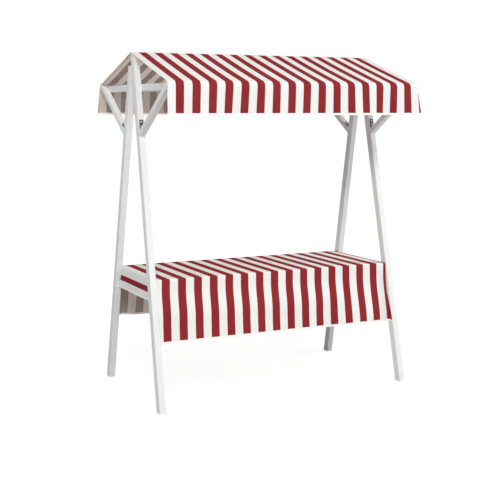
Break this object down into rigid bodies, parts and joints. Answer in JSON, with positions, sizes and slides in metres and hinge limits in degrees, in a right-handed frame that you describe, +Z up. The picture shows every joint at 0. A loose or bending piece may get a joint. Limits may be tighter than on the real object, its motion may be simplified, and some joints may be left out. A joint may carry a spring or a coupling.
{
  "type": "market stall",
  "caption": "Free-standing wooden market stall: leaning-leg end frames, a striped cloth canopy with hanging edges and a table with a striped cloth between the legs.",
  "frame": {"origin": "centre of the stall's footprint, on the ground", "axes": "+X along the ridge and the table, -Y towards the front of the stall, +Z up"},
  "size_m": [1.606, 1.196, 2.004],
  "materials": {
    "white_paint": "white paint, satin",
    "steel": "dark grey, satin",
    "canopy_cloth": "woven, red and white stripes of equal width",
    "table_cloth": "woven, red and white stripes of equal width"
  },
  "bodies": {
    "root": {"left_front_leg": "white_paint", "left_rear_leg": "white_paint", "right_front_leg": "white_paint", "right_rear_leg": "white_paint", "left_tie": "white_paint", "right_tie": "white_paint", "left_front_brace": "white_paint", "left_rear_brace": "white_paint", "right_front_brace": "white_paint", "right_rear_brace": "white_paint", "ridge_rail": "white_paint", "front_eave_rail": "white_paint", "rear_eave_rail": "white_paint", "left_bearer": "white_paint", "right_bearer": "white_paint", "front_apron": "white_paint", "rear_apron": "white_paint", "middle_batten": "white_paint", "front_board": "white_paint", "middle_board": "white_paint", "rear_board": "white_paint", "left_front_bracket": "steel", "left_rear_bracket": "steel", "right_front_bracket": "steel", "right_rear_bracket": "steel", "canopy": "canopy_cloth", "table_cloth": "table_cloth"}
  },
  "joints": []
}
